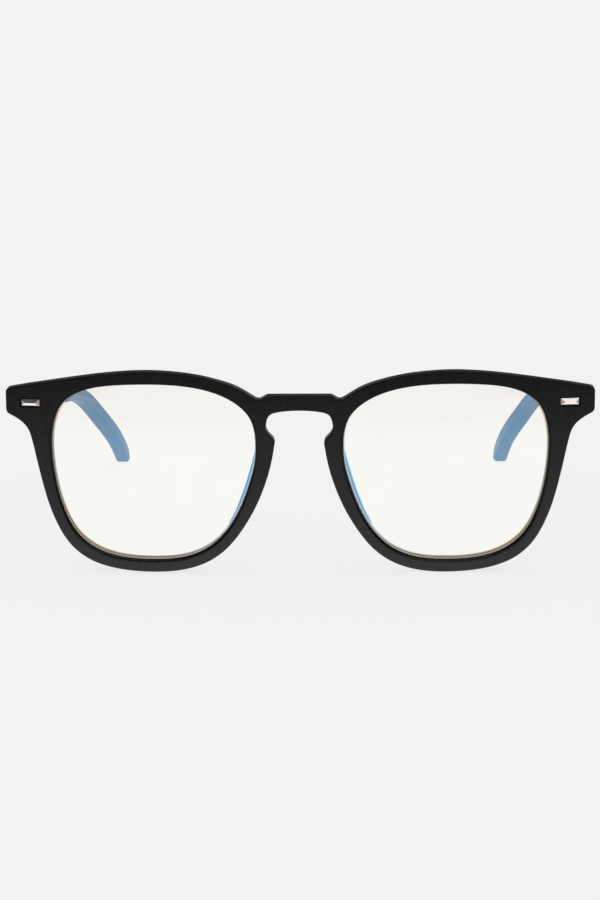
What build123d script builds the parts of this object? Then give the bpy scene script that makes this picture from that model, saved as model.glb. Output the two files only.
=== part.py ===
from build123d import *
import math
import os

# A pair of spectacles with keyhole bridge, five-barrel hinges and wired temples.
# Millimetres and degrees.  +X is the wearer's left, -Y the way the wearer looks, +Z up.
# The pair stands open on its rim bottoms and temple tips on the plane z = 0.
# Pieces that come in pairs are modelled on the left (+X) and mirrored.

# ---------------------------------------------------------------- dimensions
# front
FACE_R = 400.0              # radius of the front's bow, about a vertical axis
RIM_T = 4.0                 # thickness of the front, front to back
BACK_R = FACE_R - RIM_T
EDGE_R = 0.45               # rounding of the front's outer edges
LIP_R = 0.9                 # rounding of the front lip of each opening
BACK_LIP_R = 0.3
OPENING_IN = 0.2            # the opening lies this far inside its drawn curve
FIT_GAP = 0.05              # running and assembly clearance
ORIGIN_Y = 69.536           # the frame's origin, behind the foremost point of the front

# lenses
LENS_R = 200.0              # radius of the lens's front surface
LENS_T = 1.7
LENS_CX, LENS_CZ = 34.9, 24.4
LENS_SUNK = 0.8             # how far the lens's crown lies behind the front's face
BEVEL_OUT = 0.55            # height of the lens's V edge beyond the opening
BEVEL_T = 1.1               # thickness of the V groove at its root
BEVEL_CUT = 0.42            # chamfer that turns the flange into a V
BEVEL_DEPTH = LENS_T / 2 - 0.25     # middle of the V behind the lens's front surface
SAFETY_BEVEL = 0.2          # ground bevel round the back of the lens

# hinge; its own frame has z along the screw, y back along the temple
PANTO = 9.1                 # slope of the temple line, and of the hinge axis
HINGE_X, HINGE_Y, HINGE_Z = 64.2, 11.6, 40.8
BUTT = 1.6                  # end piece face ahead of the hinge axis
BARREL_R = 1.25
PIN_R, PIN_HOLE_R = 0.60, 0.65
PIN_LIFT = 0.03             # middle of the screw's shank above the middle of the barrels
KNUCKLE_H = 0.84
LEAF_H, LEAF_T = 4.4, 0.9
PLATE_GAP = 1.3             # leaf plates stand this far off the hinge axis
FRONT_LEAF_IN = 4.0         # reach of the front leaf inboard of the axis
TEMPLE_LEAF_Y = 1.5         # start of the temple leaf's plate behind the axis
TEMPLE_LEAF_L = 9.5
TEMPLE_LEAF_CORNER = 0.8
SCREW_HEAD_R, SCREW_HEAD_T = 1.05, 0.5
SCREW_SLOT_W = 0.32
# webs joining each knuckle to its plate, as x, y round the outline
FRONT_WEB = [(-1.22, 0), (0.6, -0.2), (0.6, -1.4), (-1.7, -1.4)]
TEMPLE_WEB = [(0.2, 1.22), (1.24, 0.1), (1.5, 1.6), (1.5, 2.3), (1.2, 2.3)]

RIVET_R, RIVET_HOLE_R = 0.5, 0.53
RIVET_HEAD_R, RIVET_HEAD_T, RIVET_HEAD_ROUND = 0.85, 0.3, 0.2
FRONT_RIVET_X = -2.9
FRONT_RIVET_Z = (-1.2, 1.2)
FRONT_RIVET_END, FRONT_HOLE_END = -3.9, -4.0        # y of the forward ends
TEMPLE_RIVET_Y = (4.2, 8.4)
TEMPLE_RIVET_END, TEMPLE_HOLE_END = 3.25, 3.3       # x of the outer ends

# temple
TEMPLE_IN = 1.6             # temple's inner face outboard of the axis
TEMPLE_T, TEMPLE_TIP_T = 4.2, 3.85
TEMPLE_HALF_H, TEMPLE_TIP_HALF_H = 2.85, 1.95
TEMPLE_BUTT_Y = -BUTT + FIT_GAP
STRAIGHT = 87.4             # hinge axis to the start of the ear bend
BEND_R = 43.5
BEND_ANGLE = math.radians(30.1)
AFTER_BEND = 26.57
PATH_LEN = STRAIGHT + BEND_R * BEND_ANGLE + AFTER_BEND
TIP_ROUND = 8.5             # length over which the top edge comes down to the tip
TIP_CORNER = 1.4            # radius of the tip itself
TIP_BLEND_DEG = 50          # where the top edge's curve meets the tip's arc
TIP_ARC_MID_DEG = -20       # a point part way round the tip's arc
TEMPLE_EDGE_R = 0.95
CORE_W, CORE_T = 2.0, 0.9   # flat reinforcing wire inside each temple
CORE_END = PATH_LEN - 11.0  # the wire ends short of the tip
# path lengths at which the temple's side outline is drawn
STATIONS = [12.0, 30.0, 55.0, 76.0, 88.0, 97.0, 106.0, 114.0, 122.0]
STATION_SPACE = 3           # stations this near the end of an edge are left out
# temple from above: y, and how far the centre line has come inboard
PLAN = [(14.0, 0), (40.0, 0.55), (70.0, 2.2), (94.6, 4.4),
        (109.5, 8.0), (120.5, 11.6), (129.0, 13.1), (136.0, 13.8)]

# plaque on each end piece
PLAQUE_X, PLAQUE_Z = 64.4, 40.7
PLAQUE_W, PLAQUE_H = 4.5, 1.7
PLAQUE_SINK, PLAQUE_BASE, PLAQUE_RISE = 0.5, 0.2, 0.45
PLAQUE_GAP = 0.33
PLAQUE_END_SLOPE = 1.15     # length of the sloping ends against the half height
PEG_R, PEG_HOLE_R, PEG_L, PEG_SPACE = 0.45, 0.48, 1.2, 2.4

# block behind each end piece, as x, y round its plan
BLOCK_BOTTOM, BLOCK_TOP = 36.4, 43.65
BLOCK_PLAN = [(59.7, 5.5), (59.7, 9.2), (60.0, 13.0), (74, 13.0), (74, 5.5)]

# nose pad; outline as x, z in the standing frame
PAD_FRONT, PAD_BACK = 1.0, 8.1
PAD_X, PAD_Y, PAD_Z = 8.35, 4.2, 21.9       # a point on the sloping nose face
PAD_LEAN, PAD_TURN = 19.0, 24.0             # slope of the nose face, about Y and Z
PAD_OVERHANG = 0.3          # reach of the pad past the front's outline
PAD_BACK_R, PAD_NOSE_R = 0.8, 0.3
PAD_EDGE = [                # outer edge, downward
    (10.5, 31.1), (10.9, 28.5), (11.65, 25.6), (12.5, 22.75), (13.4, 19.9),
    (14.75, 16.3), (16.0, 13.4), (17.2, 11.1)]
PAD_NOSE = [                # round the bottom, up the nose side and over the top
    (17.35, 10.1), (16.6, 9.1), (15.3, 8.8), (14.1, 9.6), (12.8, 12.0), (10.4, 16.5),
    (8.3, 22.5), (6.9, 28.5), (6.95, 31.1), (7.7, 32.4), (8.8, 32.8), (9.9, 32.3)]

# ---------------------------------------------------------------- outline curves (x, z)
# the +X opening, a closed curve from its nose side down and round
OPENING = [
    (11.08, -5.95), (13.24, -12.50), (16.39, -18.64), (21.06, -23.67), (27.28, -26.59),
    (34.12, -27.44), (41.02, -27.27), (47.72, -25.70), (53.32, -21.78), (56.72, -15.80),
    (58.58, -9.16), (59.47, -2.31), (59.24, 4.58), (56.54, 10.80), (50.59, 14.16),
    (43.78, 15.27), (36.89, 15.59), (29.98, 15.46), (23.15, 14.52), (16.68, 12.16),
    (11.65, 7.58), (10.24, 0.89)]
# the +X half of the front, from the middle of the bridge's underside
KEYHOLE = [(0.0, 9.42), (3.0, 9.29), (5.2, 9.00)]
KEYHOLE_SIDE = [(5.2, 9.00), (7.10, 8.20), (7.93, 5.9), (7.25, 3.72)]
NOSE_CORNER = [(7.25, 3.72), (6.2, 2.6), (5.88, 1.3)]
RIM_LOWER = [
    (5.88, 1.3), (6.34, -1.50), (7.36, -5.88), (8.80, -10.14), (10.58, -14.27),
    (13.20, -18.85), (16.60, -23.40), (21.4, -27.3), (28.0, -29.68), (36.75, -30.35),
    (45.0, -29.55), (51.3, -27.32), (55.4, -23.95), (58.19, -19.60), (60.43, -14.05),
    (62.01, -8.26), (63.33, -2.41), (64.33, 1.98)]
END_UNDER = [(64.33, 1.98), (65.45, 4.60), (67.60, 6.50), (69.35, 7.45)]
END_SIDE = [(70.35, 8.9), (70.35, 12.9)]
BROW = [
    (69.35, 13.95), (65.3, 14.78), (60.56, 15.61), (54.65, 16.61), (48.72, 17.53),
    (42.76, 18.20), (36.00, 18.56), (30.78, 18.37), (24.82, 17.68), (18.97, 16.37),
    (14.2, 14.60), (10.9, 12.62)]
NOTCH = [(10.9, 12.62), (9.55, 12.08), (8.15, 12.78)]
BRIDGE_TOP = (6.9, 13.04)
# the runs in order, each with the direction (x, z) at its end; None is a straight line
START_DIRECTION = (1, 0)
OUTLINE_RUNS = [
    (KEYHOLE, (1, -0.2)),
    (KEYHOLE_SIDE, (-0.6, -0.8)),
    (NOSE_CORNER, (0.16, -1)),
    (RIM_LOWER, (0.25, 1)),
    (END_UNDER, (1, 0.5)),
    ([END_UNDER[-1], END_SIDE[0]], (0, 1)),
    (END_SIDE, None),
    ([END_SIDE[1], BROW[0]], (-1, 0.2)),
    (BROW, (-1, -0.62)),
    (NOTCH, (-1, 0.62)),
    ([NOTCH[-1], BRIDGE_TOP], (-1, 0))]

SWEEP_RISE = 0.0295         # rise of the outline for each mm the front sweeps back
Z_SCALE = 0.9938            # height of the front against the curves above
FLOOR_DROP = 0.0391         # lowers the curves, whose lowest point gains by the sweep
FLOOR_Z = -min(z for x, z in RIM_LOWER) * Z_SCALE - FLOOR_DROP
CURVE_SAMPLES = 44          # points taken when a closed curve is offset or mirrored


# ---------------------------------------------------------------- helpers
def mirror_x(shape):
    return mirror(shape, about=Plane.YZ)


def box_between(x0, x1, y0, y1, z0, z1):
    middle = Pos((x0 + x1) / 2, (y0 + y1) / 2, (z0 + z1) / 2)
    return middle * Box(x1 - x0, y1 - y0, z1 - z0)


def rod_x(radius, x0, x1, y, z):
    return Pos((x0 + x1) / 2, y, z) * Rot(0, 90, 0) * Cylinder(radius, x1 - x0)


def rod_y(radius, y0, y1, x, z):
    return Pos(x, (y0 + y1) / 2, z) * Rot(90, 0, 0) * Cylinder(radius, y1 - y0)


def prism(points, z0, z1):
    """upright prism over a polygon of x, y points"""
    face = Face(Wire.make_polygon([Vector(x, y, z0) for x, y in points], close=True))
    return extrude(face, amount=z1 - z0, dir=(0, 0, 1))


def along_y(face, y0, y1):
    return extrude(face.moved(Location((0, y0, 0))), amount=(y1 - y0), dir=(0, 1, 0))


def bow_cylinder(radius):
    """upright cylinder about the axis of the front's bow"""
    return Pos(0, FACE_R, 30) * Cylinder(radius, 100)


def soft_fillet(shape, radius, edges, fallbacks=(0.7, 0.45)):
    """fillet the edges, at a fraction of the radius where the full one does not fit"""
    for fraction in (1,) + fallbacks:
        # guards against a fillet the kernel cannot build; the edges may stay sharp
        try:
            return shape.fillet(radius * fraction, edges)
        except Exception:
            pass
    return shape


def largest(shape):
    return max(shape.solids(), key=lambda solid: solid.volume)


# ---------------------------------------------------------------- curves of the front
def bow(x):
    """how far the front's face has swept back at x"""
    return FACE_R - math.sqrt(FACE_R ** 2 - x * x)


def to_world(point):
    x, z = point
    return Vector(x, 0, FLOOR_Z + z * Z_SCALE + SWEEP_RISE * bow(x))


def closed_spline(points):
    return Wire([Edge.make_spline(points, periodic=True)])


def grown(curve, amount):
    """a closed curve round the +X lens moved outward by an even amount"""
    edge = curve.edges()[0]
    points = []
    for i in range(CURVE_SAMPLES):
        point = edge.position_at(i / CURVE_SAMPLES)
        tangent = edge.tangent_at(i / CURVE_SAMPLES)
        normal = Vector(tangent.Z, 0, -tangent.X)
        if normal.dot(point - Vector(LENS_CX, 0, LENS_CZ)) < 0:
            normal = normal * -1
        points.append(point + normal * amount)
    return closed_spline(points)


def make_outline_face():
    edges = []
    direction = START_DIRECTION
    for run, end_direction in OUTLINE_RUNS:
        points = [to_world(p) for p in run]
        if end_direction is None:
            edges.append(Edge.make_line(*points))
            continue
        tangents = [Vector(x, 0, z) for x, z in (direction, end_direction)]
        edges.append(Edge.make_spline(points, tangents=tangents))
        direction = end_direction
    top = to_world(BRIDGE_TOP)
    edges.append(Edge.make_line(top, Vector(0, 0, top.Z)))
    return Face(Wire.combine(edges + [mirror_x(edge) for edge in edges])[0])


outline_face = make_outline_face()
opening_wire = grown(closed_spline([to_world(p) for p in OPENING]), -OPENING_IN)


def outline_column(x_shift=0):
    return along_y(outline_face.moved(Location((x_shift, 0, 0))), -5, 20)


def opening_column(face):
    return along_y(face, -6, 22)


# ---------------------------------------------------------------- lenses and grooves
def side_opening(side, amount):
    """the opening on one side (+1 left, -1 right), moved outward by an even amount"""
    face = Face(grown(opening_wire, amount))
    if side > 0:
        return face
    edge = face.outer_wire().edges()[0]
    points = [edge.position_at(i / CURVE_SAMPLES) for i in range(CURVE_SAMPLES)]
    return Face(closed_spline([Vector(-p.X, 0, p.Z) for p in points]))


def lens_blank(side, amount, depth_front, depth_back):
    """the part of a column over the opening between two depths behind the lens surface"""
    apex = Vector(side * LENS_CX, bow(LENS_CX) + LENS_SUNK, LENS_CZ)
    to_axis = Vector(-side * LENS_CX / FACE_R, math.sqrt(1 - (LENS_CX / FACE_R) ** 2), 0)
    centre = Pos(*(apex + to_axis * LENS_R))
    shell = centre * Sphere(LENS_R - depth_front) - centre * Sphere(LENS_R - depth_back)
    return (opening_column(side_opening(side, amount)) & shell).solids()[0]


def rim_loops(blank):
    """the two long edges round a blank, without the short seams"""
    return [edge for edge in blank.edges() if edge.length > 60]


def v_edge(side, amount, thickness):
    """flange round the lens, its corners cut back to a V"""
    blank = lens_blank(side, amount, BEVEL_DEPTH - thickness / 2, BEVEL_DEPTH + thickness / 2)
    return blank.chamfer(BEVEL_CUT, None, rim_loops(blank))


def make_lens(side):
    body = lens_blank(side, -FIT_GAP, 0, LENS_T)
    back_edge = max(rim_loops(body), key=lambda edge: edge.center().Y)
    body = body.chamfer(SAFETY_BEVEL * 0.75, SAFETY_BEVEL, [back_edge])
    return (body + v_edge(side, BEVEL_OUT - FIT_GAP, BEVEL_T - 2 * FIT_GAP)).solids()[0]


# ---------------------------------------------------------------- hinge, in its own frame
hinge_at = Pos(HINGE_X, HINGE_Y, HINGE_Z) * Rot(-PANTO, 0, 0)


def add_knuckles(leaf, slots, web):
    """barrels with their webs, in slots counted from the bottom"""
    for slot in slots:
        z0 = -LEAF_H / 2 + slot * (KNUCKLE_H + FIT_GAP)
        z1 = z0 + KNUCKLE_H
        barrel = Pos(0, 0, (z0 + z1) / 2) * Cylinder(BARREL_R, KNUCKLE_H)
        leaf = leaf + barrel + prism(web, z0, z1)
    return leaf


def drill_pin_hole(leaf):
    return (leaf - Cylinder(PIN_HOLE_R, 20)).solids()[0]


def front_rivet_hole(z):
    return rod_y(RIVET_HOLE_R, FRONT_HOLE_END, 0, FRONT_RIVET_X, z)


def make_front_leaf():
    leaf = box_between(-FRONT_LEAF_IN, BARREL_R, -PLATE_GAP - LEAF_T, -PLATE_GAP,
                       -LEAF_H / 2, LEAF_H / 2)
    leaf = add_knuckles(leaf, [0, 2, 4], FRONT_WEB)
    for z in FRONT_RIVET_Z:
        leaf = leaf - front_rivet_hole(z)
    return drill_pin_hole(leaf)


def make_temple_leaf():
    leaf = box_between(PLATE_GAP, PLATE_GAP + LEAF_T,
                       TEMPLE_LEAF_Y, TEMPLE_LEAF_Y + TEMPLE_LEAF_L, -LEAF_H / 2, LEAF_H / 2)
    rear_corners = leaf.edges().filter_by(Axis.X).sort_by(Axis.Y)[-2:]
    leaf = leaf.fillet(TEMPLE_LEAF_CORNER, rear_corners)
    leaf = add_knuckles(leaf, [1, 3], TEMPLE_WEB)
    for y in TEMPLE_RIVET_Y:
        leaf = leaf - rod_x(RIVET_HOLE_R, 0.5, 4, y, 0)
    return drill_pin_hole(leaf)


def make_front_rivet(z):
    shank = rod_y(RIVET_R, FRONT_RIVET_END, -PLATE_GAP, FRONT_RIVET_X, z)
    head = rod_y(RIVET_HEAD_R, -PLATE_GAP, -PLATE_GAP + RIVET_HEAD_T, FRONT_RIVET_X, z)
    rim = max(head.edges(), key=lambda edge: edge.center().Y)
    return (shank + head.fillet(RIVET_HEAD_ROUND, [rim])).solids()[0]


def make_temple_rivet(y):
    shank = rod_x(RIVET_R, PLATE_GAP, TEMPLE_RIVET_END, y, 0)
    head = rod_x(RIVET_HEAD_R, PLATE_GAP - RIVET_HEAD_T, PLATE_GAP, y, 0)
    rim = min(head.edges(), key=lambda edge: edge.center().X)
    return (shank + head.fillet(RIVET_HEAD_ROUND, [rim])).solids()[0]


def make_screw():
    shank = Pos(0, 0, PIN_LIFT) * Cylinder(PIN_R, LEAF_H)
    head_middle = LEAF_H / 2 + SCREW_HEAD_T / 2
    head = Pos(0, 0, head_middle) * Cylinder(SCREW_HEAD_R, SCREW_HEAD_T)
    head = head.fillet(0.15, [max(head.edges(), key=lambda edge: edge.center().Z)])
    slot = box_between(-2, 2, -SCREW_SLOT_W / 2, SCREW_SLOT_W / 2, head_middle, LEAF_H / 2 + 1)
    return (shank + head - slot).solids()[0]


# ---------------------------------------------------------------- temple, in the hinge frame
def side_point(s):
    """y, z and downward slope of the centre line at path length s"""
    if s <= STRAIGHT:
        return s, 0.0, 0.0
    angle = min((s - STRAIGHT) / BEND_R, BEND_ANGLE)
    rest = max(0.0, s - STRAIGHT - BEND_R * BEND_ANGLE)
    y = STRAIGHT + BEND_R * math.sin(angle) + rest * math.cos(angle)
    z = -BEND_R * (1 - math.cos(angle)) - rest * math.sin(angle)
    return y, z, angle


def side_face(half_height, s_end, s_start=TEMPLE_BUTT_Y, rounded=True):
    """side view of a bar along the temple, with a rounded tip or a square end"""
    def edge_points(sign, edge_end):
        inner = [s for s in STATIONS if s < edge_end - STATION_SPACE]
        points = []
        for s in [s_start] + inner + [edge_end]:
            y, z, angle = side_point(s)
            height = half_height(s) * sign
            points.append(Vector(0, y + height * math.sin(angle), z + height * math.cos(angle)))
        return points

    top = edge_points(1, s_end - TIP_ROUND if rounded else s_end)
    bottom = edge_points(-1, s_end - TIP_CORNER if rounded else s_end)
    slope = side_point(s_end)[2]
    along = Vector(0, math.cos(slope), -math.sin(slope))
    across = Vector(0, math.sin(slope), math.cos(slope))
    edges = []
    for points in (top, bottom):
        edges.append(Edge.make_spline(points[1:], tangents=[Vector(0, 1, 0), along]))
        edges.append(Edge.make_line(points[0], points[1]))
    edges.append(Edge.make_line(top[0], bottom[0]))
    if not rounded:
        edges.append(Edge.make_line(top[-1], bottom[-1]))
        return Face(Wire.combine(edges)[0])

    centre = bottom[-1] + across * TIP_CORNER

    def tip_point(degrees):
        angle = math.radians(degrees)
        return (centre + along * (TIP_CORNER * math.cos(angle))
                + across * (TIP_CORNER * math.sin(angle)))

    blend = math.radians(TIP_BLEND_DEG)
    blend_tangent = along * math.sin(blend) - across * math.cos(blend)
    blend_point = tip_point(TIP_BLEND_DEG)
    edges.append(Edge.make_spline([top[-1], blend_point], tangents=[along, blend_tangent]))
    edges.append(Edge.make_three_point_arc(blend_point, tip_point(TIP_ARC_MID_DEG), bottom[-1]))
    return Face(Wire.combine(edges)[0])


def plan_face(half_thickness, y_start):
    """view from above of a bar along the temple"""
    middle_x = TEMPLE_IN + TEMPLE_T / 2
    centres = [(middle_x - inset, y) for y, inset in PLAN]
    inner, outer = [], []
    for i, (x, y) in enumerate(centres):
        half = half_thickness(y)
        before = centres[max(i - 1, 0)]
        after = centres[min(i + 1, len(centres) - 1)]
        dx, dy = after[0] - before[0], after[1] - before[1]
        if i == 0:
            dx, dy = 0.0, 1.0
        length = math.hypot(dx, dy)
        normal_x, normal_y = dy / length, -dx / length
        inner.append(Vector(x - normal_x * half, y - normal_y * half, 0))
        outer.append(Vector(x + normal_x * half, y + normal_y * half, 0))
    inner_start = Vector(inner[0].X, y_start, 0)
    outer_start = Vector(outer[0].X, y_start, 0)
    tangents = [Vector(0, 1, 0), Vector(-0.05, 1, 0)]
    edges = [Edge.make_spline(inner, tangents=tangents),
             Edge.make_spline(outer, tangents=tangents),
             Edge.make_line(inner_start, inner[0]),
             Edge.make_line(outer_start, outer[0]),
             Edge.make_line(inner_start, outer_start),
             Edge.make_line(inner[-1], outer[-1])]
    return Face(Wire.combine(edges)[0])


def band(side, plan):
    """the solid that has both the side view and the plan"""
    sideways = extrude(side.moved(Location((-30, 0, 0))), amount=60, dir=(1, 0, 0))
    upward = extrude(plan.moved(Location((0, 0, -50))), amount=80, dir=(0, 0, 1))
    return (sideways & upward).solids()[0]


def taper(first, last, position, start, length):
    fraction = min(max((position - start) / length, 0), 1)
    return first + (last - first) * fraction


def temple_half_height(s):
    return taper(TEMPLE_HALF_H, TEMPLE_TIP_HALF_H, s, start=12.0, length=78.0)


def temple_half_thickness(y):
    return taper(TEMPLE_T, TEMPLE_TIP_T, y, start=14.0, length=80.0) / 2


def make_core():
    return band(side_face(lambda s: CORE_W / 2, CORE_END, s_start=0.0, rounded=False),
                plan_face(lambda y: CORE_T / 2, -4.0))


def make_temple():
    body = band(side_face(temple_half_height, PATH_LEN),
                plan_face(temple_half_thickness, TEMPLE_BUTT_Y - 1))
    # every edge except those round the butt
    long_edges = [edge for edge in body.edges() if edge.center().Y > TEMPLE_BUTT_Y + 0.5]
    body = soft_fillet(body, TEMPLE_EDGE_R, long_edges, fallbacks=())
    # channel for the core wire, open at the butt
    body = body - band(
        side_face(lambda s: CORE_W / 2 + FIT_GAP, CORE_END + FIT_GAP, rounded=False),
        plan_face(lambda y: CORE_T / 2 + FIT_GAP, -8.0))
    body = body - box_between(
        0, PLATE_GAP + LEAF_T,
        TEMPLE_LEAF_Y - FIT_GAP, TEMPLE_LEAF_Y + TEMPLE_LEAF_L + FIT_GAP,
        -LEAF_H / 2 - FIT_GAP, LEAF_H / 2 + FIT_GAP)
    for y in TEMPLE_RIVET_Y:
        body = body - rod_x(RIVET_HOLE_R, 1, TEMPLE_HOLE_END, y, 0)
    return body.solids()[0]


# ---------------------------------------------------------------- plaque
plaque_turn = math.degrees(math.asin(PLAQUE_X / FACE_R))
plaque_at = Pos(PLAQUE_X, bow(PLAQUE_X), PLAQUE_Z) * Rot(0, 0, plaque_turn)
PEG_XS = (-PEG_SPACE / 2, PEG_SPACE / 2)


def make_plaque():
    """hipped plaque on a flat base, with two pegs behind"""
    half_w, half_h = PLAQUE_W / 2, PLAQUE_H / 2
    ridge = half_w - half_h * PLAQUE_END_SLOPE
    corners = [Vector(-half_w, PLAQUE_BASE, -half_h), Vector(half_w, PLAQUE_BASE, -half_h),
               Vector(half_w, PLAQUE_BASE, half_h), Vector(-half_w, PLAQUE_BASE, half_h),
               Vector(-ridge, -PLAQUE_RISE, 0), Vector(ridge, -PLAQUE_RISE, 0)]
    facets = [(0, 1, 2, 3), (0, 1, 5, 4), (1, 2, 5), (2, 3, 4, 5), (3, 0, 4)]
    roof = Solid(Shell([Face(Wire.make_polygon([corners[i] for i in facet], close=True))
                        for facet in facets]))
    plaque = box_between(-half_w, half_w, PLAQUE_BASE, PLAQUE_SINK, -half_h, half_h) + roof
    for x in PEG_XS:
        plaque = plaque + rod_y(PEG_R, PLAQUE_BASE, PLAQUE_SINK + PEG_L, x, 0)
    return (plaque_at * plaque).solids()[0]


def plaque_seat():
    half_w, half_h = PLAQUE_W / 2 + PLAQUE_GAP, PLAQUE_H / 2 + PLAQUE_GAP
    seat = box_between(-half_w, half_w, -1.0, PLAQUE_SINK, -half_h, half_h)
    for x in PEG_XS:
        seat = seat + rod_y(PEG_HOLE_R, 0, PLAQUE_SINK + PEG_L + FIT_GAP, x, 0)
    return plaque_at * seat


# ---------------------------------------------------------------- front
def on_bow(edge, radius):
    """whether the edge lies all along the bow cylinder of this radius"""
    points = [edge.position_at(t) for t in (0.0, 0.25, 0.5, 0.75, 1.0)]
    return all(abs(math.hypot(p.X, p.Y - FACE_R) - radius) <= 0.01 for p in points)


def lip_edges(shape, radius):
    """edges of the two openings on the bow cylinder of this radius"""
    return [edge for edge in shape.edges() if on_bow(edge, radius) and 140 < edge.length < 160]


def end_block():
    """thickening behind the left end piece, cut square to the temple"""
    block = prism(BLOCK_PLAN, BLOCK_BOTTOM, BLOCK_TOP) & outline_column()
    block = block - (bow_cylinder(FACE_R + 40) - bow_cylinder(FACE_R - RIM_T / 2))
    block = block - (hinge_at * box_between(-20, 20, -BUTT, 20, -20, 20))
    return block.solids()[0]


def front_leaf_seat():
    seat = box_between(-FRONT_LEAF_IN - FIT_GAP, BARREL_R + FIT_GAP, -PLATE_GAP - LEAF_T, 3,
                       -LEAF_H / 2 - FIT_GAP, LEAF_H / 2 + FIT_GAP)
    for z in FRONT_RIVET_Z:
        seat = seat + front_rivet_hole(z)
    return hinge_at * seat


def cut_both_sides(shape, cutter):
    return shape - cutter - mirror_x(cutter)


def make_front():
    plate = outline_column() & (bow_cylinder(FACE_R) - bow_cylinder(BACK_R))
    plate = plate.solids()[0]
    outer_edges = [e for e in plate.edges() if on_bow(e, FACE_R) or on_bow(e, BACK_R)]
    plate = soft_fillet(plate, EDGE_R, outer_edges)

    block = end_block()
    front = plate + block + mirror_x(block)
    # face that the temple's butt closes against
    front = cut_both_sides(front, hinge_at * box_between(-4.0, 20, -BUTT, 20, -4.4, 20))
    front = front.solids()[0]

    front = cut_both_sides(front, opening_column(Face(opening_wire))).solids()[0]
    front = soft_fillet(front, LIP_R, lip_edges(front, FACE_R))
    front = soft_fillet(front, BACK_LIP_R, lip_edges(front, BACK_R))
    for side in (1, -1):
        front = front - v_edge(side, BEVEL_OUT, BEVEL_T)
    for seat in (plaque_seat(), front_leaf_seat()):
        front = cut_both_sides(front, seat)
    return front.solids()[0]


# ---------------------------------------------------------------- nose pad
def make_pad():
    """pad behind the opening's nose side; its nose face slopes away towards the back"""
    outline = closed_spline([Vector(x, 0, z) for x, z in PAD_EDGE + PAD_NOSE])
    pad = along_y(Face(outline), PAD_FRONT, PAD_BACK)
    pad = soft_fillet(pad, PAD_BACK_R, [max(pad.edges(), key=lambda e: e.center().Y)])
    pad = pad & outline_column(PAD_OVERHANG)
    slope_at = Pos(PAD_X, PAD_Y, PAD_Z) * Rot(0, -PAD_LEAN, 0) * Rot(0, 0, -PAD_TURN)
    pad = largest(pad - slope_at * Pos(-10, 0, 0) * Box(20, 40, 60))
    nose_edges = [e for e in pad.edges()
                  if e.length > 8 and abs(e.center().Y - PAD_BACK) < 1.5]
    pad = soft_fillet(pad, PAD_NOSE_R, nose_edges)
    # keep only what stands behind the front's back face
    return largest(pad & bow_cylinder(BACK_R))


# ---------------------------------------------------------------- all pieces
def write_piece(name, shapes):
    moved = [shape.moved(Location((0, -ORIGIN_Y, 0))) for shape in shapes]
    piece = moved[0] if len(moved) == 1 else Compound(children=moved)
    export_step(piece, "parts/" + name + ".step")


os.makedirs("parts", exist_ok=True)
write_piece("front_frame", [make_front()])
write_piece("lens_left", [make_lens(1)])
write_piece("lens_right", [make_lens(-1)])

paired = {
    "nose_pad": [make_pad()],
    "front_plaque": [make_plaque()],
    "hinge_front_leaf": [hinge_at * make_front_leaf()],
    "front_leaf_rivets": [hinge_at * make_front_rivet(z) for z in FRONT_RIVET_Z],
    "hinge_screw": [hinge_at * make_screw()],
    "hinge_temple_leaf": [hinge_at * make_temple_leaf()],
    "temple_leaf_rivets": [hinge_at * make_temple_rivet(y) for y in TEMPLE_RIVET_Y],
    "temple": [hinge_at * make_temple()],
    "temple_core_wire": [hinge_at * make_core()],
}
for name, shapes in paired.items():
    write_piece(name + "_left", shapes)
    write_piece(name + "_right", [mirror_x(shape) for shape in shapes])
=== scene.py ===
"""Looks, studio and camera for a pair of black plastic glasses.

The glasses stand on the floor (z = 0), with x across the front and y towards the temple tips.
The front faces -y, where the camera is. Lengths are in metres unless a name says otherwise.
"""
import math
from fnmatch import fnmatchcase

import bpy
from mathutils import Matrix, Vector

# Lens openings, mirrored about x = 0
OPENING_X = 0.0349           # centre of each opening
OPENING_Z = 0.0244
OPENING_REACH = 0.0256       # half width that holds the opening walls
INWARD_LIMIT = -0.002        # offset from centre times normal, below this a face looks inward

# Floor disc
FLOOR_RADIUS = 9.0
FLOOR_RINGS = 12
FLOOR_SEGMENTS = 96
FLOOR_DROP = 0.0001          # gap that keeps the floor clear of the glasses

# Camera
TARGET_MM = (0.16, -69.536, 30.122)
DISTANCE_MM = 640.0
ELEVATION = math.radians(11.0)
YAW = math.radians(-1.40)
ROLL = math.radians(-0.368)
SENSOR_WIDTH_MM = 36.0
FOCAL_LENGTH_MM = 161.94

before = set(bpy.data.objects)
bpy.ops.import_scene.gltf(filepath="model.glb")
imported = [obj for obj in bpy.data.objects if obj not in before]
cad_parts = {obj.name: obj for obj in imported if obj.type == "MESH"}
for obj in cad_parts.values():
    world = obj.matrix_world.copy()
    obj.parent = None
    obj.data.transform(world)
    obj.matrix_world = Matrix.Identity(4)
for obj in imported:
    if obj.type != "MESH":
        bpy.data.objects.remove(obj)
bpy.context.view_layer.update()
scene = bpy.context.scene


# ------------------------------------------------------------------ node graphs

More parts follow.
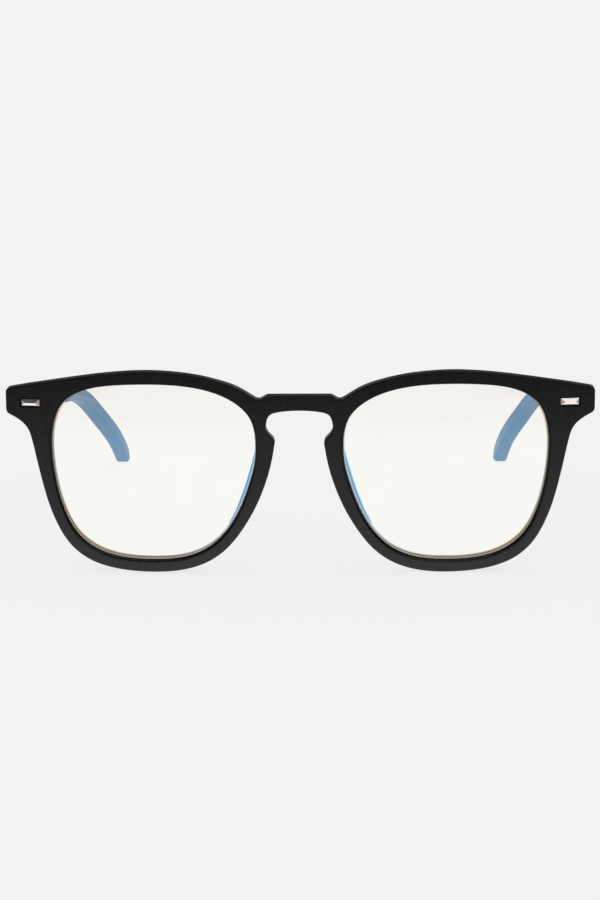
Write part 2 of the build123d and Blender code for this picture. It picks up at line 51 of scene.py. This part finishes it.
class Graph:
    """An emptied node tree, with short calls for the nodes used often."""

    def __init__(self, tree):
        self.nodes, self.links = tree.nodes, tree.links
        self.nodes.clear()

    def add(self, kind, inputs=None, **settings):
        """Add a node. Inputs are sockets to link or plain values; colours are RGB."""
        node = self.nodes.new("ShaderNode" + kind)
        for key, value in settings.items():
            setattr(node, key, value)
        for key, value in (inputs or {}).items():
            socket = node.inputs[key]
            if isinstance(value, bpy.types.NodeSocket):
                self.links.new(value, socket)
            elif socket.type == "RGBA":
                socket.default_value = (*value, 1)
            else:
                socket.default_value = value
        return node

    def out(self, kind, inputs=None, **settings):
        """Add a node and return its first output."""
        return self.add(kind, inputs, **settings).outputs[0]

    def coords(self):
        return self.add("TexCoord").outputs["Object"]

    def split(self, vector):
        return self.add("SeparateXYZ", {0: vector}).outputs

    def object_normal(self):
        """The face normal's x, y, z in object space, and the geometry node."""
        geometry = self.add("NewGeometry")
        turned = self.out("VectorTransform", {0: geometry.outputs["True Normal"]},
                          vector_type="NORMAL", convert_from="WORLD", convert_to="OBJECT")
        return self.split(turned), geometry

    def noise(self, coords, scale, detail=3.0, roughness=0.55, stretch=None):
        if stretch:
            coords = self.out("Mapping", {"Scale": stretch, "Vector": coords})
        return self.out("TexNoise", {"Scale": scale, "Detail": detail,
                                     "Roughness": roughness, "Vector": coords})

    def remap(self, value, to, span=(0.0, 1.0)):
        """Map the span of values onto the range in to, clamped."""
        return self.out("MapRange", {"From Min": span[0], "From Max": span[1],
                                     "To Min": to[0], "To Max": to[1],
                                     "Value": value}, clamp=True)

    def where(self, mask, factor):
        """1 outside the mask, factor inside it."""
        return self.remap(mask, to=(1.0, factor))

    def mix(self, factor, first, second):
        return self.add("Mix", {"Factor": factor, "A": first, "B": second},
                        data_type="RGBA").outputs["Result"]

    def mix_shader(self, factor, first, second):
        return self.out("MixShader", {0: factor, 1: first, 2: second})

    def calc(self, operation, first, second=0.0):
        return self.out("Math", {0: first, 1: second}, operation=operation)

    def times(self, first, second):
        return self.calc("MULTIPLY", first, second)

    def below(self, value, limit):
        return self.calc("LESS_THAN", value, limit)

    def absolute(self, value):
        return self.calc("ABSOLUTE", value)

    def vector(self, operation, first, second):
        key = "Scale" if operation == "SCALE" else 1
        return self.out("VectorMath", {0: first, key: second}, operation=operation)

    def bump(self, height, distance, normal=None):
        inputs = {"Strength": 1.0, "Distance": distance, "Height": height}
        if normal is not None:
            inputs["Normal"] = normal
        return self.out("Bump", inputs)


def new_material(name):
    material = bpy.data.materials.new(name)
    material.use_nodes = True
    return material, Graph(material.node_tree)


# ------------------------------------------------------------------ black plastic

def polish_lips(g, position, color, roughness, specular):
    """Polish the walls and edges of the two lens openings, paint shade on their lips, and cut
    the specular of faces that look up as painted shade.
    """
    normal, _ = g.object_normal()
    side = g.calc("SIGN", position["X"])
    from_x = g.calc("SUBTRACT", position["X"], g.times(side, OPENING_X))
    from_z = g.calc("SUBTRACT", position["Z"], OPENING_Z)
    outward = g.calc("ADD", g.times(from_x, normal["X"]), g.times(from_z, normal["Z"]))
    inner = g.below(outward, INWARD_LIMIT)
    near = g.below(g.absolute(from_x), OPENING_REACH)
    ring = g.times(inner, near)
    # 0 on a wall that runs front to back, 1 on a face square to the front
    tilt = g.absolute(normal["Y"])
    wall = g.times(ring, g.below(tilt, 0.12))
    edge = g.times(ring, g.below(tilt, 0.97))
    roughness = g.times(roughness, g.where(edge, factor=0.55))
    roughness = g.times(roughness, g.where(wall, factor=0.25))
    # painted shade: the lips of the openings get a much darker colour, and less specular
    # further down, to stand in for the shade along them
    lip_shade = g.times(ring, g.remap(tilt, span=(0.80, 0.985), to=(1.0, 0.0)))
    color = g.vector("SCALE", color, g.where(lip_shade, factor=0.12))
    # painted shade: faces that look up, and the steeper opening faces, get less specular so
    # that they read dark; the walls keep theirs
    top_shade = g.remap(normal["Z"], span=(0.90, 0.985), to=(1.0, 0.12))
    hollow_shade = g.times(ring, g.below(tilt, 0.48))
    top_shade = g.times(top_shade, g.where(hollow_shade, factor=0.25))
    top_shade = g.calc("MAXIMUM", top_shade, wall)
    specular = g.times(specular, top_shade)
    specular = g.times(specular, g.where(lip_shade, factor=0.55))
    wall_specular = 0.85
    specular = g.calc("MAXIMUM", specular, g.times(wall, wall_specular))
    return color, roughness, specular


def painted_coating_reflection(g, coords):
    """Strength of a painted reflection: the pads glow as if they threw back the lens coating's
    light, seen only through a lens.
    """
    depth = g.add("LightPath").outputs["Transparent Depth"]
    through = g.calc("GREATER_THAN", depth, 0.5)
    streak = g.remap(g.noise(coords, scale=260.0, detail=2.0), span=(0.3, 0.7), to=(0.55, 1.25))
    incoming = g.split(g.add("NewGeometry").outputs["Incoming"])
    face_on = g.remap(g.absolute(incoming["Y"]), span=(0.80, 0.97), to=(0.12, 1.0))
    return g.times(through, g.times(streak, face_on))


def black_plastic(name, dark, light, bounce_heights, specular, roughness=0.48, grain=1.0, mottle=1.0,
                  lips=False, glow=None):
    """Matte black plastic with fine grain and faint rubbed scratches.

    The colour goes from light to dark up over the given heights, and specular from its second
    value to its first, a painted light for the floor's bounce. grain scales the bumps, mottle
    the specks; glow is an RGB emission, a painted reflection.
    """
    material, g = new_material(name)
    coords = g.coords()
    position = g.split(coords)
    # painted light: lighter and more specular low down, for light bounced up from the floor
    painted_bounce = g.remap(position["Z"], span=bounce_heights, to=(1.0, 0.0))
    cloud = g.noise(coords, scale=130.0, detail=4.0)
    painted_bounce = g.times(painted_bounce, g.remap(cloud, span=(0.3, 0.7), to=(0.8, 1.1)))
    color = g.mix(painted_bounce, dark, light)
    # specks lighten and darken the colour, never below a least black
    speck = g.noise(coords, scale=3300.0, detail=2.0, roughness=0.7)
    speck = g.remap(speck, span=(0.32, 0.68), to=(-0.0062, 0.0082))
    speck = g.times(speck, mottle)
    speck = g.out("CombineXYZ", {0: speck, 1: speck, 2: speck})
    color = g.vector("ADD", color, speck)
    color = g.vector("MAXIMUM", color, (0.0008, 0.0008, 0.0008))

    rough = g.remap(cloud, span=(0.25, 0.75), to=(roughness - 0.06, roughness + 0.07))
    scratch = g.noise(coords, scale=900.0, detail=2.0, roughness=0.5, stretch=(0.12, 1.0, 3.0))
    rough = g.calc("ADD", rough, g.remap(scratch, span=(0.66, 0.74), to=(0.0, -0.07)))
    shine = g.remap(painted_bounce, to=specular)
    if lips:
        color, rough, shine = polish_lips(g, position, color, rough, shine)

    fine = g.noise(coords, scale=5200.0, detail=2.0)
    medium = g.noise(coords, scale=1500.0)
    normal = g.bump(fine, distance=0.000010 * grain)
    normal = g.bump(medium, distance=0.000012 * grain, normal=normal)
    inputs = {"Base Color": color, "Roughness": rough, "Specular IOR Level": shine,
              "Normal": normal}
    # painted reflection: the glow stands in for the blue light the lens coating throws back
    if glow:
        inputs["Emission Color"] = glow
        inputs["Emission Strength"] = painted_coating_reflection(g, coords)
    g.add("OutputMaterial", {"Surface": g.out("BsdfPrincipled", inputs)})
    return material


# ------------------------------------------------------------------ metal

def metal(name, color, roughness, scale, depth, brush=(1, 1, 1), spots=0.06, side_shade=None):
    """Brushed metal.

    brush, scale and depth shape the brush lines, and spots is the roughness added in pits.
    The facets that face left and right are darkened and warmed by a given tint, a painted
    reflection of the room's dark ends.
    """
    material, g = new_material(name)
    coords = g.coords()
    cloud = g.noise(coords, scale=420.0, detail=4.0)
    lines = g.noise(coords, scale=scale, roughness=0.6, stretch=brush)
    pits = g.noise(coords, scale=2600.0, detail=2.0)
    patches = g.remap(cloud, span=(0.35, 0.7), to=(0.0, 1.0))
    tone = g.mix(patches, color, tuple(v * 0.88 for v in color))
    # painted reflection: facets that face left and right darken, as if they mirrored the room's
    # dark ends
    if side_shade:
        normal, _ = g.object_normal()
        sideways = g.remap(g.absolute(normal["X"]), span=(0.25, 0.42), to=(0.0, 1.0))
        tone = g.vector("MULTIPLY", tone, g.mix(sideways, (1.0, 1.0, 1.0), side_shade))
    rough = g.remap(lines, span=(0.3, 0.7), to=(roughness - 0.05, roughness + 0.07))
    rough = g.calc("ADD", rough, g.remap(pits, span=(0.62, 0.72), to=(0.0, spots)))
    surface = g.out("BsdfPrincipled", {"Metallic": 1.0, "Base Color": tone, "Roughness": rough,
                                       "Normal": g.bump(lines, distance=depth)})
    g.add("OutputMaterial", {"Surface": surface})
    return material


# ------------------------------------------------------------------ lens

def coated_face(g, coords):
    """Front face: passes warm light and reflects blue."""
    smear = g.noise(coords, scale=60.0, detail=4.0, roughness=0.6)
    dust = g.noise(coords, scale=1900.0, detail=2.0)
    reflected = g.mix(g.remap(smear, span=(0.3, 0.7), to=(0.0, 1.0)),
                      (0.117, 0.268, 0.430), (0.108, 0.254, 0.414))
    passed = g.mix(g.remap(smear, span=(0.3, 0.7), to=(0.0, 1.0)),
                   (0.934, 0.768, 0.550), (0.929, 0.762, 0.543))
    # the coating drifts a little cooler towards the top of the lens
    drift = g.remap(g.split(coords)["Z"], span=(0.026, 0.041), to=(0.0, 1.0))
    shift = g.mix(drift, (1.0, 1.0, 1.0), (0.977, 1.0, 1.078))
    clear = g.out("BsdfTransparent", {"Color": g.vector("MULTIPLY", passed, shift)})
    dusty = g.remap(dust, span=(0.60, 0.75), to=(0.015, 0.09))
    gloss = g.out("BsdfGlossy", {"Color": reflected, "Roughness": dusty})
    return g.out("AddShader", {0: clear, 1: gloss})


def plain_face(g):
    """Back face: clear, with reflections that grow at grazing angles."""
    fresnel = g.add("LayerWeight", {"Blend": 0.18}).outputs["Fresnel"]
    clear = g.out("BsdfTransparent", {"Color": (1.0, 1.0, 0.995)})
    gloss = g.out("BsdfGlossy", {"Color": (0.9, 0.95, 1.0), "Roughness": 0.02})
    return g.mix_shader(g.remap(fresnel, to=(0.0, 0.5)), clear, gloss)


def ground_edge(g, coords):
    """Edge: pale and frosted, with a painted glow that stands in for light led to it inside the
    lens.
    """
    grind = g.noise(coords, scale=4200.0)
    color = g.mix(grind, (0.36, 0.345, 0.31), (0.43, 0.415, 0.38))
    diffuse = g.out("BsdfDiffuse", {"Roughness": 0.4, "Color": color,
                                    "Normal": g.bump(grind, distance=0.00001)})
    translucent = g.out("BsdfTranslucent", {"Color": color})
    translucent_share = 0.55
    ground = g.mix_shader(translucent_share, diffuse, translucent)
    # painted light: a fixed glow for the light led to the edge inside the lens
    painted_edge_glow = g.out("Emission", {"Color": (0.27, 0.268, 0.262), "Strength": 1.0})
    return g.out("AddShader", {0: ground, 1: painted_edge_glow})


def lens_material(name):
    material, g = new_material(name)
    coords = g.coords()
    normal, geometry = g.object_normal()
    # faces seen from behind have their normal turned round, so turn it back
    sign = g.where(geometry.outputs["Backfacing"], factor=-1.0)
    facing = g.times(normal["Y"], sign)
    is_edge = g.below(g.absolute(facing), 0.93)
    is_front = g.below(facing, 0.0)
    faces = g.mix_shader(is_front, plain_face(g), coated_face(g, coords))
    surface = g.mix_shader(is_edge, faces, ground_edge(g, coords))
    g.add("OutputMaterial", {"Surface": surface})
    return material


# ------------------------------------------------------------------ materials on the pieces

def dress_pieces():
    # painted light: the light colours and higher specular low down stand in for the floor's
    # bounce
    front = black_plastic("front_black", dark=(0.0030, 0.0030, 0.0032),
                          light=(0.017, 0.0155, 0.017), bounce_heights=(0.004, 0.046),
                          specular=(0.12, 0.36), lips=True)
    temple = black_plastic("temple_black", dark=(0.010, 0.009, 0.009),
                           light=(0.016, 0.015, 0.016), bounce_heights=(0.0, 0.045),
                           specular=(0.22, 0.30), roughness=0.42)
    # the pad's glow is a painted reflection of the lens coating
    pad = black_plastic("pad_black", dark=(0.008, 0.009, 0.010),
                        light=(0.012, 0.013, 0.015), bounce_heights=(0.0, 0.04),
                        specular=(0.58, 0.66), roughness=0.16, grain=0.15, mottle=0.3,
                        glow=(0.0, 0.092, 0.29))
    lens = lens_material("coated_lens")
    # the plaque's side tint is a painted reflection of the room's dark ends
    plaque = metal("plaque_polished", (0.93, 0.90, 0.88), roughness=0.10, scale=3000.0,
                   depth=0.000001, brush=(1, 1, 0.2), spots=0.04, side_shade=(0.40, 0.34, 0.30))
    hinge = metal("hinge_brushed", (0.46, 0.46, 0.47), roughness=0.32, scale=2600.0,
                  depth=0.000005, brush=(0.2, 1.0, 6.0))
    screw = metal("screw_steel", (0.56, 0.56, 0.56), roughness=0.22, scale=3500.0,
                  depth=0.000002)
    rivet = metal("rivet_steel", (0.50, 0.50, 0.51), roughness=0.27, scale=3200.0,
                  depth=0.000003)
    core = metal("core_steel", (0.42, 0.42, 0.43), roughness=0.35, scale=2500.0,
                 depth=0.000004, brush=(1, 0.05, 1))

    # piece name pattern, material, slot; the first match counts
    finishes = (
        ("front_frame", front, "front"),
        ("lens*", lens, "lens"),
        ("nose_pad*", pad, "nose_pad"),
        ("front_plaque*", plaque, "plaque"),
        ("*rivets*", rivet, "rivet"),
        ("*screw*", screw, "screw"),
        ("*core_wire*", core, "core_wire"),
        ("*leaf*", hinge, "hinge"),
        ("*", temple, "temple"),
    )
    for name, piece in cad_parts.items():
        material, slot = next(row[1:] for row in finishes if fnmatchcase(name, row[0]))
        piece.data.materials.clear()
        piece.data.materials.append(material)


# ------------------------------------------------------------------ floor

def floor_material():
    """Pale paper, mostly self-lit so that shadows stay faint."""
    material, g = new_material("floor_pale")
    coords = g.coords()
    paper = g.noise(coords, scale=900.0, detail=4.0)
    color = g.mix(paper, (0.886, 0.886, 0.886), (0.894, 0.894, 0.894))
    diffuse = g.out("BsdfDiffuse", {"Roughness": 0.0, "Color": color})
    # in reflections the floor falls away with distance, to meet the studio at the horizon
    is_glossy = g.add("LightPath").outputs["Is Glossy Ray"]
    distance = g.add("VectorMath", {0: coords}, operation="LENGTH").outputs["Value"]
    fall = g.remap(distance, span=(0.22, 0.80), to=(1.16, 0.90))
    fall = g.times(g.calc("SUBTRACT", fall, 1.0), is_glossy)
    glow = g.out("Emission", {"Color": color, "Strength": g.calc("ADD", fall, 1.0)})
    glow_share = 0.88
    g.add("OutputMaterial", {"Surface": g.mix_shader(glow_share, diffuse, glow)})
    return material


def add_floor():
    """A flat disc whose rings crowd towards the centre."""
    verts = [(0, 0, 0)]
    for ring in range(1, FLOOR_RINGS + 1):
        radius = FLOOR_RADIUS * (ring / FLOOR_RINGS) ** 2
        for k in range(FLOOR_SEGMENTS):
            angle = 2 * math.pi * k / FLOOR_SEGMENTS
            verts.append((radius * math.cos(angle), radius * math.sin(angle), 0))
    steps = [(k, (k + 1) % FLOOR_SEGMENTS) for k in range(FLOOR_SEGMENTS)]
    faces = [(0, 1 + k, 1 + after) for k, after in steps]
    for ring in range(1, FLOOR_RINGS):
        inner = 1 + (ring - 1) * FLOOR_SEGMENTS
        outer = inner + FLOOR_SEGMENTS
        faces += [(inner + k, outer + k, outer + after, inner + after) for k, after in steps]
    mesh = bpy.data.meshes.new("floor")
    mesh.from_pydata(verts, [], faces)
    floor = bpy.data.objects.new("floor", mesh)
    floor.location = (0, 0, -FLOOR_DROP)
    scene.collection.objects.link(floor)
    mesh.materials.append(floor_material())


# ------------------------------------------------------------------ studio

# Grey levels of the reflected studio: (z of the direction, level)
AHEAD_LEFT = ((0.0, 0.80), (0.06, 0.76), (0.20, 0.30), (0.38, 0.08), (0.90, 0.08),
              (0.96, 1.0), (1.0, 1.0))
AHEAD_RIGHT = ((0.0, 0.80), (0.06, 0.76), (0.20, 0.40), (0.45, 0.30), (0.70, 0.90),
               (0.96, 1.0), (1.0, 1.0))
BEHIND = ((0.0, 1.0), (0.24, 1.0), (0.34, 0.25), (0.90, 0.15), (0.96, 1.0), (1.0, 1.0))


def sky(g, height, stops):
    node = g.add("ValToRGB", {0: height})
    elements = node.color_ramp.elements
    while len(elements) < len(stops):
        elements.new(0.5)
    for element, (position, level) in zip(elements, stops):
        element.position = position
        element.color = (level, level, level, 1)
    return node.outputs["Color"]


def add_studio():
    """Even light, but shiny surfaces see a shaped studio with a large soft box overhead."""
    world = bpy.data.worlds.new("studio")
    scene.world = world
    world.use_nodes = True
    g = Graph(world.node_tree)
    direction = g.split(g.add("TexCoord").outputs["Generated"])
    rays = g.add("LightPath").outputs
    left, right, behind = (sky(g, direction["Z"], stops)
                           for stops in (AHEAD_LEFT, AHEAD_RIGHT, BEHIND))
    # ahead is -y, on the camera's side
    ahead = g.mix(g.remap(direction["X"], span=(0.05, 0.22), to=(0.0, 1.0)), left, right)
    # darker at the far left and right
    sides = g.remap(g.absolute(direction["X"]), span=(0.33, 0.55), to=(1.0, 0.42))
    ahead = g.vector("SCALE", ahead, sides)
    studio = g.mix(g.remap(direction["Y"], span=(-0.3, 0.3), to=(0.0, 1.0)), ahead, behind)
    soft_box = g.remap(direction["Z"], span=(0.92, 0.97), to=(1.0, 1.9))
    overall_strength = 1.0
    strength = g.times(soft_box, overall_strength)
    glossy = g.out("Background", {"Color": studio, "Strength": strength})
    even = g.out("Background", {"Color": (1, 1, 1), "Strength": 1.0})
    backdrop = g.out("Background", {"Color": (0.885, 0.885, 0.885), "Strength": 1.0})
    lighting = g.mix_shader(rays["Is Glossy Ray"], even, glossy)
    surface = g.mix_shader(rays["Is Camera Ray"], lighting, backdrop)
    g.add("OutputWorld", {"Surface": surface})


# ------------------------------------------------------------------ camera

def add_camera():
    """Look down at the target from -y, with a slight yaw and roll."""
    level, drop = math.cos(ELEVATION), math.sin(ELEVATION)
    cos_yaw, sin_yaw = math.cos(YAW), math.sin(YAW)
    forward = Vector((sin_yaw * level, cos_yaw * level, -drop))
    right = Vector((cos_yaw, -sin_yaw, 0))
    up = right.cross(forward)
    rolled_right = math.cos(ROLL) * right + math.sin(ROLL) * up
    rolled_up = -math.sin(ROLL) * right + math.cos(ROLL) * up
    position = (Vector(TARGET_MM) - DISTANCE_MM * forward) / 1000.0
    rotation = Matrix((rolled_right, rolled_up, -forward)).transposed()

    data = bpy.data.cameras.new("camera")
    data.sensor_fit = "HORIZONTAL"
    data.sensor_width = SENSOR_WIDTH_MM
    data.lens = FOCAL_LENGTH_MM
    data.clip_start = 0.01
    camera = bpy.data.objects.new("camera", data)
    camera.matrix_world = Matrix.Translation(position) @ rotation.to_4x4()
    scene.collection.objects.link(camera)
    scene.camera = camera


dress_pieces()
add_floor()
add_studio()
add_camera()
scene.view_settings.view_transform = "Standard"
scene.view_settings.look = "None"
